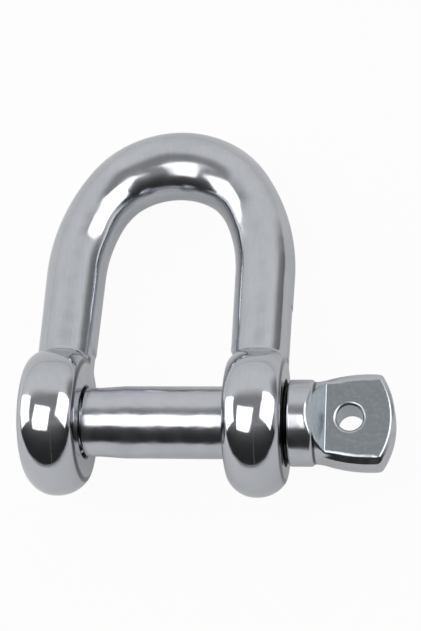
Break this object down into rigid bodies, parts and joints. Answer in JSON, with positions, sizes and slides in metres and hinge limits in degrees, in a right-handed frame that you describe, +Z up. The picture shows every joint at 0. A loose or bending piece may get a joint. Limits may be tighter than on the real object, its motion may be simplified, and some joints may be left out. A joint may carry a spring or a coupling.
{
  "type": "screw-pin chain shackle",
  "caption": "D-shaped polished stainless steel shackle whose two round ears are closed by a screw pin with a flat eyed head, for joining chain or rope ends.",
  "frame": {"origin": "on the pin axis, midway between the two ears", "axes": "+X along the pin towards its head, +Y from the pin towards the crown, +Z up; the shackle lies as it comes to rest, on both ear rims and the crown"},
  "size_m": [0.0567, 0.0636, 0.0226],
  "materials": {
    "bow_steel": "polished",
    "pin_steel": "polished, satin on the flats of the head"
  },
  "bodies": {
    "bow": {"bow": "bow_steel"},
    "pin": {"pin": "pin_steel"}
  },
  "joints": [
    {"name": "pin_withdraw", "type": "slide", "parent": "bow", "child": "pin", "axis": [1, 0, 0], "range_m": [0, 0.045]}
  ]
}
